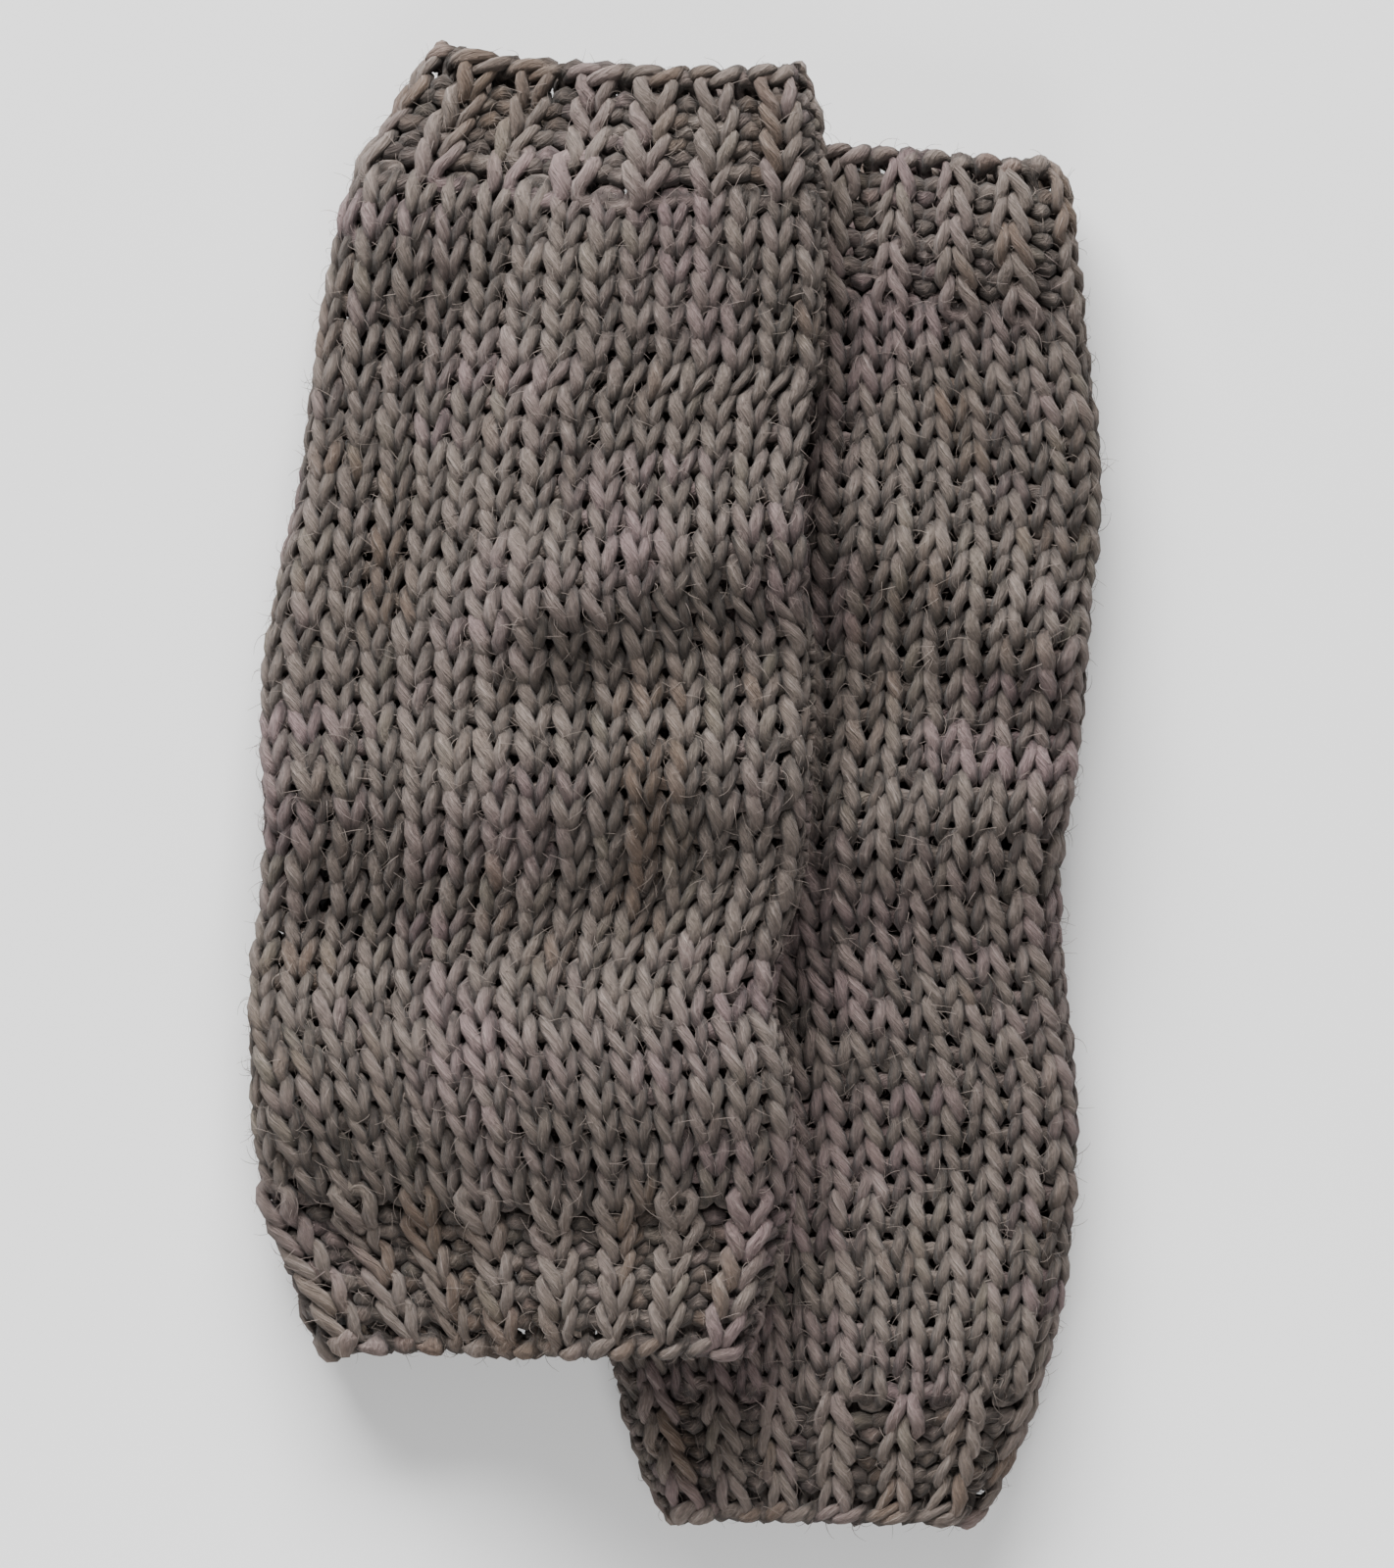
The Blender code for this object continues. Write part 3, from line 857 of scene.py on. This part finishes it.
def travelling_tree():
    vectors = [(name, "NodeSocketVector") for name in ("Start", "Run", "Side")]
    t, given = open_tree("travelling_yarn", TRAVELLING_SIZES, "Fabric", vectors, "Yarn")
    rib, seed, uneven = given["Rib"], given["Seed"], given["Unevenness"]
    line = straight_line(t, given["Figures"] * given["Points per figure"])
    step = t.wire("GeometryNodeInputIndex") / given["Points per figure"]
    angle = step * TURN

    nearby = t.vector(step * 0.7, 0.0, seed * 5.3)
    onward = step + given["Forward"] * t.sin(angle)
    onward = onward + TRAVEL_WOBBLE * t.noise(nearby, 0.9) * uneven
    from_knit = (onward - 0.5) * math.pi
    onward = onward + rib * given["Rib squeeze"] * t.sin(from_knit) / math.pi
    sideways = given["Swing"] * t.cos(angle) + TRAVEL_WOBBLE * t.noise(nearby, 1.1) * uneven
    wobble_out = t.noise(t.vector(step * 0.8 + 13.0, 0.0, seed * 2.9), 1.0) * uneven
    out = (given["Legs out"] * t.cos(angle * 2.0) + TRAVEL_WOBBLE_OUT * wobble_out
           + rib * given["Rib relief"] * t.cos(from_knit))

    # Start, Run and Side are in stitches and rows, with a third number in metres.
    place = t.added(given["Start"], t.scaled(given["Run"], onward))
    place = t.added(place, t.scaled(given["Side"], sideways))
    place = t.wire("ShaderNodeVectorMath", {0: place, 1: (STITCH_WIDTH, ROW_HEIGHT, 1.0)},
                   operation="MULTIPLY")
    place = t.added(place, t.vector(0.0, given["Slant"] * t.sin(angle) * ROW_HEIGHT, out))
    line = t.wire("GeometryNodeSetPosition", {"Geometry": line, "Position": place})
    thickness = 1.0 + TRAVEL_WOBBLE_THICK * wobble_out + given["Petal"] * t.cos(angle * 2.0)
    yarn = laid_yarn(t, given, line, step, given["Yarn radius"] * thickness)
    t.node("NodeGroupOutput", {0: yarn})
    print("travelling yarn tree:", len(t.tree.nodes), "nodes")
    return t.tree


travelling = travelling_tree()

# %% [markdown]
# ## The wool
#
# Both gloves are knitted from one soft, loosely twisted wool in taupe.  It isn't one colour:
# mauve, olive and brown come and go along the yarn, and every strand shows its fibres winding
# round it.  Noise would swim through a yarn if it were read in space, so the pattern is read
# along and around the yarn, from values that the trees store on it.

# %% Colours, linear
TAUPE = (0.122, 0.097, 0.083, 1.0)
MAUVE = (0.162, 0.110, 0.112, 1.0)
BROWN = (0.100, 0.065, 0.045, 1.0)
OLIVE = (0.110, 0.094, 0.071, 1.0)
PALE = (0.235, 0.200, 0.180, 1.0)
MAUVE_SHARE = 0.8             # the most of each dye that shows over the taupe
OLIVE_SHARE = 0.7
BROWN_SHARE = 0.7
BROWN_EASE = 0.36             # how softly a brown run begins


def stored_number(t, name):
    """A number that the yarn stores, in a shader tree."""
    return t.wire("ShaderNodeAttribute", output=2, attribute_name=name)


def stored_vector(t, name):
    return t.wire("ShaderNodeAttribute", output=1, attribute_name=name)


def mixed(t, factor, first, second):
    """Two colours mixed; 6, 7 and output 2 are the colour sockets of a Mix node."""
    return t.wire("ShaderNodeMix", {0: factor, 6: first, 7: second}, output=2, data_type="RGBA")


def part(t, value, low, high):
    """How far a value has gone from low to high, from 0 to 1."""
    return t.wire("ShaderNodeMapRange", {"Value": value, "From Min": low, "From Max": high},
                  interpolation_type="SMOOTHSTEP")


def dyed(t, along, seed, brown_from):
    """The colour of the wool at a place on the yarn; a low brown_from gives more brown."""
    spot = t.noise(t.wire("ShaderNodeTexCoord", output="Object"), 40.0, 1.0)
    slow = t.noise(t.vector(along * 0.17, seed, 0.0), 1.0, 2.0, 0.6)
    quick = t.noise(t.vector(along * 1.3, seed + 5.0, 0.0), 1.0, 1.0)
    brown_run = t.noise(t.vector(along * 0.45, seed + 9.0, 0.0), 1.0, 1.0)
    mauve = part(t, slow + 0.6 * spot, -0.05, 0.45) * MAUVE_SHARE
    olive = part(t, quick - 0.4 * spot, 0.05, 0.5) * OLIVE_SHARE
    brown = part(t, brown_run - 0.6 * spot, brown_from, brown_from + BROWN_EASE) * BROWN_SHARE
    colour = mixed(t, mauve, TAUPE, MAUVE)
    colour = mixed(t, olive, colour, OLIVE)
    return mixed(t, brown, colour, BROWN)


print("dyes:", {"mauve": MAUVE_SHARE, "olive": OLIVE_SHARE, "brown": BROWN_SHARE})

# %% [markdown]
# A strand of soft wool is painted darker along its sides, where it is packed against its
# neighbour and lies in shade, and painted paler on its crest, a highlight where the fibres
# stand free.  `proud` says how far a point stands from the middle of the fabric, so it tells
# the crest from the side.  Light alone can't do all of this, because the fuzz that dims the
# gaps is finer than any tube drawn here.

# %% The wool's finish, with painted shade and highlight
TWIST = 8.2                   # radians that the fibres wind in the yarn of one stitch
MIDDLE_UPTO = 0.2             # mm from the fabric's middle: the deep part of a gap
SIDE_AT = 0.95                # mm: the sides of a strand
CREST_AT = 2.1                # mm: the crest of a strand
# painted shade on a strand's sides, and a painted highlight on its crest
SIDE_SHADE = 0.35
CREST_PAINTED_HIGHLIGHT = 0.74             # how much paler than the sides the crest is
BUMP_HEIGHT = 0.0007


def wool(name, seed, brown_from, deep):
    """A finish with painted shade and highlight; deep is the painted shade of the wool at the
    fabric's middle.
    """
    material = bpy.data.materials.new(name)
    material.use_nodes = True
    shader = material.node_tree.nodes["Principled BSDF"]
    shader.inputs["Sheen Weight"].default_value = 0.07
    shader.inputs["Sheen Roughness"].default_value = 0.5
    shader.inputs["Specular IOR Level"].default_value = 0.2
    t = Tree(material.node_tree)
    along = stored_number(t, "along")
    proud = stored_number(t, "proud")
    around = t.split(stored_vector(t, "around"))
    angle = t.math("ARCTAN2", around[1], around[0])
    turned = angle + along * TWIST

    # Fibres and strands: noise stretched along the twist.
    winding = t.vector(t.cos(turned), t.sin(turned), along * 2.2 + seed)
    fibre = t.noise(winding, 4.2, 3.0, 0.75)
    strand = t.noise(winding, 1.5, 1.0, 0.5)
    short = t.noise(t.vector(t.cos(angle), t.sin(angle), along * 9.0 + seed), 2.2, 2.0)
    pale_fibres = part(t, fibre + 0.6 * strand, 0.0, 0.8) * 0.6
    colour = mixed(t, pale_fibres, dyed(t, along, seed, brown_from), PALE)
    # Painted shade: darker towards the fabric's middle, where strands meet; a painted highlight
    # pales each crest.
    to_side = part(t, proud, MIDDLE_UPTO, SIDE_AT)
    to_crest = part(t, proud, SIDE_AT, CREST_AT)
    shade = deep - (deep - SIDE_SHADE) * to_side + CREST_PAINTED_HIGHLIGHT * to_crest
    shade = (1.0 + 0.30 * strand + 0.48 * fibre + 0.45 * short) * shade
    colour = t.scaled(colour, shade)
    height = 0.5 * fibre + 0.6 * strand + 0.2 * short
    bump = t.wire("ShaderNodeBump", {"Strength": 1.0, "Distance": BUMP_HEIGHT, "Height": height})
    roughness = 0.86 + 0.06 * fibre
    t.tree.links.new(colour.socket, shader.inputs["Base Color"])
    t.tree.links.new(roughness.socket, shader.inputs["Roughness"])
    t.tree.links.new(bump.socket, shader.inputs["Normal"])
    print(name, "wool:", len(t.tree.nodes), "nodes")
    return material


# deep sets how dark the painted shade is at the fabric's middle in each finish
knit_wool = wool("knit_wool", seed=1.0, brown_from=0.14, deep=0.90)
rib_wool = wool("rib_wool", seed=4.0, brown_from=0.02, deep=0.45)
edge_wool = wool("edge_wool", seed=7.0, brown_from=-0.06, deep=0.60)
thread_wool = wool("thread_wool", seed=11.0, brown_from=0.14, deep=0.85)

# %% [markdown]
# ## Knitting the bands
#
# Each band of the CAD model becomes one yarn: the arm rib, the body and the finger rib.  The
# body is knitted in two lengths, which join in the middle of the glove as a knitter joins
# a new ball.

# %% Ribs and bodies
EDGE_ROWS = 1                 # the length that a cast-on or bind-off edge takes, in rows
PLAIN = {"Rib": 0.0, "Yarn_radius": 0.00133, "Swing": 0.205, "Pull": 0.045, "Unevenness": 1.5}
RIBBED = {"Rib": 1.0, "Yarn_radius": 0.00146, "Swing": 0.235, "Pull": 0.02, "Unevenness": 1.1}


def keep(piece, glove, node):
    """Say which body a piece rides on, and what it replaces."""
    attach(piece, glove["name"])
    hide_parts(f"{glove['name']}_{node}")


def knit_bands(glove):
    name, rows = glove["name"], glove["rows"]
    last_row = rows - EDGE_ROWS
    arm_end = EDGE_ROWS + glove["arm_rib_rows"]
    finger_start = last_row - glove["finger_rib_rows"]
    middle = (arm_end + finger_start) // 2
    bands = (
        ("arm_rib", EDGE_ROWS, arm_end, RIBBED, rib_wool, "taupe_rib", "arm_rib"),
        ("body_arm_half", arm_end, middle, PLAIN, knit_wool, "taupe_knit", "body"),
        ("body_finger_half", middle, finger_start, PLAIN, knit_wool, "taupe_knit", "body"),
        ("finger_rib", finger_start, last_row, RIBBED, rib_wool, "taupe_rib", "finger_rib"),
    )
    for number, (band, first, last, stitch, material, slot, node) in enumerate(bands):
        piece = grow(f"{name}_{band}_knit", fabrics[name], knitting, material,
                     First_row=float(first), Rows=float(last - first), Fabric_rows=float(rows),
                     Seed=glove["seed"] + number, **stitch)
        keep(piece, glove, node)


for glove in GLOVES:
    knit_bands(glove)

# %% [markdown]
# Both ends finish in a chain that lies along the rim.  The bind-off closes the loops of the
# last row, and the cast-on is the row of loops that the knitting began with, so its links lean
# the other way.  Both follow the ribs' columns in and out, because they are worked into them.

# %% Cast-on and bind-off edges
RIM_INSET = 0.84              # from the end of the fabric to the middle of the chain, in rows
RIM_ACROSS = 0.12             # how far each link swings across the rim, in rows
RIM_OUT = 0.0011              # and how far it swings out of the fabric
CHAIN = {"Run": (1.0, 0.0, 0.0), "Figures": float(STITCHES), "Swing": 1.0, "Petal": 0.16,
         "Yarn_radius": 0.00110, "Rib": 1.0, "Unevenness": 2.4}


def make_edges(glove):
    name, rows, seed = glove["name"], float(glove["rows"]), glove["seed"]
    bind_off = grow(name + "_bind_off_edge_chain", fabrics[name], travelling, edge_wool,
                    Start=(0.0, rows - RIM_INSET, 0.0), Side=(0.0, RIM_ACROSS, RIM_OUT),
                    Fabric_rows=rows, Forward=0.36, Slant=0.22, Seed=seed + 5, **CHAIN)
    keep(bind_off, glove, "bind_off_edge")
    cast_on = grow(name + "_cast_on_edge_loops", fabrics[name], travelling, edge_wool,
                   Start=(0.0, RIM_INSET, 0.0), Side=(0.0, -RIM_ACROSS, RIM_OUT),
                   Fabric_rows=rows, Forward=0.30, Slant=0.26, Seed=seed + 6, **CHAIN)
    keep(cast_on, glove, "cast_on_edge")


for glove in GLOVES:
    make_edges(glove)

# %% [markdown]
# ## Sewing up
#
# The sewn side is closed from both ends with mattress stitch, a thread that picks up a bar
# from one edge and then one from the other.  It stops at the thumb gap.  The two yarn ends are
# woven in on the inside, along the seam.

# %% Seams
SEAM_INTO_EDGE = 0.3          # how far a seam runs into the end of the glove, in rows
SEAM_INTO_GAP = 0.4           # and how far past the corner of the thumb gap
SEAM_OUT = 0.0002             # the thread stands this far out of the fabric's middle


def sew_up(glove):
    name, rows = glove["name"], float(glove["rows"])
    row_length = glove["length"] / rows
    thumb_first = rows - (THUMB_START + THUMB_GAP) / row_length
    thumb_last = rows - THUMB_START / row_length
    seams = (("arm_seam", EDGE_ROWS - SEAM_INTO_EDGE, thumb_first + SEAM_INTO_GAP),
             ("finger_seam", thumb_last - SEAM_INTO_GAP, rows - EDGE_ROWS + SEAM_INTO_EDGE))
    for number, (node, first, last) in enumerate(seams):
        thread = grow(f"{name}_{node}_thread", fabrics[name], travelling, thread_wool,
                      Start=(0.0, first, SEAM_OUT), Run=(0.0, 1.0, 0.0), Side=(1.0, 0.0, 0.0),
                      Figures=last - first, Fabric_rows=rows, Swing=0.36, Legs_out=-0.0009,
                      Yarn_radius=0.00105, Seed=glove["seed"] + 7 + number)
        keep(thread, glove, node)


print(f"thumb gap: {THUMB_GAP * 1000:.0f} mm long, {THUMB_START * 1000:.0f} mm from the fingers")

# %% [markdown]
# A woven-in end lies inside the glove, on the under layer just past the rounded side.  The
# glove's columns are narrower than a stitch on the flat, so this yarn is drawn wider and
# deeper to match, and comes out round.

# %% Woven-in ends
TAIL_LENGTH = 0.028
TAIL_RADIUS = 0.0011
TAIL_DEPTH = 0.0034           # from the middle of the fabric, inwards


def column_width(glove, row):
    """The real width of one column of stitches, away from the thumb gap."""
    along = glove["length"] * (1 - row / glove["rows"])
    half_run = centre_and_width(glove, along)[1] / 2 - FABRIC / 2 - ROUND_RADIUS
    return float(TURN * ROUND_RADIUS + 4 * half_run) / STITCHES


def weave_in(glove):
    name, rows = glove["name"], float(glove["rows"])
    tail_rows = TAIL_LENGTH * rows / glove["length"]
    tails = (("cast_on_tail", EDGE_ROWS), ("bind_off_tail", rows - EDGE_ROWS - tail_rows))
    for number, (node, first) in enumerate(tails):
        column = column_width(glove, first + tail_rows / 2)
        narrowing = column / STITCH_WIDTH
        beside_round = (math.pi / 2 * ROUND_RADIUS + TAIL_RADIUS) / column
        tail = grow(f"{name}_{node}_yarn", fabrics[name], travelling, thread_wool,
                    Start=(beside_round, first, -TAIL_DEPTH / narrowing), Run=(0.0, 2.0, 0.0),
                    Side=(1.0, 0.0, 0.0), Figures=tail_rows / 2, Fabric_rows=rows, Swing=0.05,
                    Legs_out=0.0002, Yarn_radius=TAIL_RADIUS / narrowing,
                    Flattening=narrowing, Unevenness=0.4, Seed=glove["seed"] + 9 + number)
        keep(tail, glove, node)


for glove in GLOVES:
    sew_up(glove)
    weave_in(glove)

# %% [markdown]
# ## Loose fibres
#
# Soft wool is never smooth: short fibres stand out of the yarn, blur the stitches' edges and
# half fill the gaps.  They could be a hair system; here a node tree scatters small bent
# tapered tubes over the finished yarn, because they must end as an ordinary mesh.  None grow
# low down, where the glove's weight presses them flat.

# %% The tree that scatters loose fibres
FIBRE_SIDES = 3
FIBRE_SIZES = {"Fibres per square metre": 92000.0, "Length": 0.0034, "Thickness": 0.00006}
FIBRES_FROM = 0.0045          # the least height that a fibre grows from
SHORTEST, LONGEST = 0.5, 1.2  # in lengths
GROWTH_SEED = 7


def fibre_tree():
    seed_input = [("Seed", "NodeSocketInt")]
    t, given = open_tree("loose_fibres", FIBRE_SIZES, "Yarn", seed_input, "Fibres")
    height = t.split(t.wire("GeometryNodeInputPosition"))[2]
    spots = t.node("GeometryNodeDistributePointsOnFaces",
                   {"Mesh": given["Yarn"], "Density": given["Fibres per square metre"],
                    "Seed": given["Seed"],
                    "Selection": t.math("GREATER_THAN", height, FIBRES_FROM)},
                   distribute_method="RANDOM").outputs

    # One fibre, bent and tapered.
    length = given["Length"]
    bend = t.wire("GeometryNodeCurveQuadraticBezier",
                  {"Resolution": 4, "Start": (0.0, 0.0, 0.0),
                   "Middle": t.vector(length * 0.35, 0.0, length * 0.42),
                   "End": t.vector(length, length * 0.25, length * 0.10)})
    taper = 1.0 - 0.7 * t.wire("GeometryNodeSplineParameter")
    bend = t.wire("GeometryNodeSetCurveRadius", {"Curve": bend, "Radius": taper})
    ring = t.wire("GeometryNodeCurvePrimitiveCircle",
                  {"Resolution": FIBRE_SIDES, "Radius": given["Thickness"]})
    fibre = t.tube(bend, ring)

    # It is turned at random about the spot that it grows from, and grows more or less.  2, 3
    # and output 1 are the number sockets of a Random Value node.
    turn = t.wire("FunctionNodeRandomValue", {2: 0.0, 3: TURN, "Seed": given["Seed"]},
                  output=1, data_type="FLOAT")
    growth = t.wire("FunctionNodeRandomValue", {2: SHORTEST, 3: LONGEST, "Seed": GROWTH_SEED},
                    output=1, data_type="FLOAT")
    spin = t.wire("FunctionNodeAxisAngleToRotation", {"Axis": (0.0, 0.0, 1.0), "Angle": turn})
    turned = t.wire("FunctionNodeRotateRotation", {0: Wire(t, spots["Rotation"]), 1: spin},
                    rotation_space="LOCAL")
    fibres = t.wire("GeometryNodeInstanceOnPoints",
                    {"Points": Wire(t, spots["Points"]), "Instance": fibre,
                     "Rotation": turned, "Scale": t.vector(growth, growth, growth)})
    t.node("NodeGroupOutput", {0: t.dressed(fibres, given["Material"])})
    print("loose fibre tree:", len(t.tree.nodes), "nodes")
    return t.tree


loose_fibres = fibre_tree()

# %% [markdown]
# A loose fibre has the dye of the yarn it comes from, painted paler as if lit on all sides,
# and it has no pattern of its own.

# %% The fibres' finish
# share of painted light that pales a fibre's colour
FIBRE_PALENESS = 0.45


def fibre_finish():
    material = bpy.data.materials.new("loose_fibre_wool")
    material.use_nodes = True
    shader = material.node_tree.nodes["Principled BSDF"]
    shader.inputs["Specular IOR Level"].default_value = 0.2
    shader.inputs["Roughness"].default_value = 0.9
    t = Tree(material.node_tree)
    yarn_colour = dyed(t, stored_number(t, "along"), seed=1.0, brown_from=0.16)
    # painted light: the fibre's colour is paled towards PALE
    colour = mixed(t, FIBRE_PALENESS, yarn_colour, PALE)
    t.tree.links.new(colour.socket, shader.inputs["Base Color"])
    print("fibre wool:", len(t.tree.nodes), "nodes")
    return material


fibre_wool = fibre_finish()

# %% Fibres on every knitted piece
FIBRE_BANDS = ("body_arm_half", "body_finger_half", "arm_rib", "finger_rib")


def raise_fibres(glove):
    for number, band in enumerate(FIBRE_BANDS):
        name = f"{glove['name']}_{band}"
        yarn = bpy.data.objects[name + "_knit"]
        fibres = grow(name + "_loose_fibres", yarn.data, loose_fibres, fibre_wool,
                      Seed=int(glove["seed"]) + number)
        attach(fibres, glove["name"])


for glove in GLOVES:
    raise_fibres(glove)

# %% [markdown]
# ## Finish
#
# The finished pair's box and the packed model's should agree to about 2 mm, because loose
# fibres stand a little way out of the fabric.
